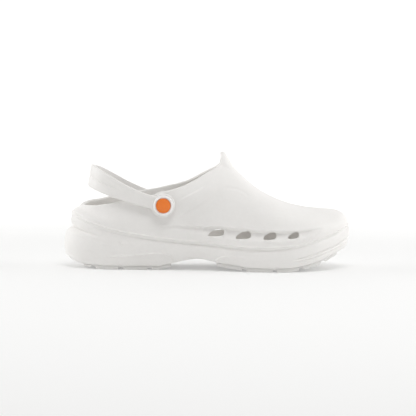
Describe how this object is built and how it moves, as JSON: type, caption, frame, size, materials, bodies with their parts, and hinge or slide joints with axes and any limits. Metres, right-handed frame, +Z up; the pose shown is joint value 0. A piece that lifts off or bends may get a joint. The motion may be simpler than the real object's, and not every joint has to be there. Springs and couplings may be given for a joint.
{
  "type": "clog",
  "caption": "Slip-on work clog of white moulded foam with side vents, rubber treads, a loose footbed and a heel strap swung back on rivets.",
  "frame": {"origin": "on the ground under the middle of the shoe's length and width", "axes": "+X towards the toe, -Y towards the outer side of the foot, +Z up"},
  "size_m": [0.285, 0.106, 0.1162],
  "materials": {
    "shell_foam": "matt closed-cell foam, satin on worn edges",
    "footbed_foam": "matt textured foam",
    "tread_rubber": "matt moulded rubber",
    "strap_foam": "smooth satin foam",
    "rivet_plastic": "smooth moulded plastic",
    "orange_plastic": "smooth satin plastic"
  },
  "bodies": {
    "root": {"upper_and_midsole": "shell_foam", "insole": "footbed_foam", "outsole_heel": "tread_rubber", "outsole_forefoot": "tread_rubber", "heel_strap": "strap_foam", "rivet_outer": "rivet_plastic", "rivet_inner": "rivet_plastic", "rivet_disc_outer": "orange_plastic", "rivet_disc_inner": "orange_plastic"}
  },
  "joints": []
}
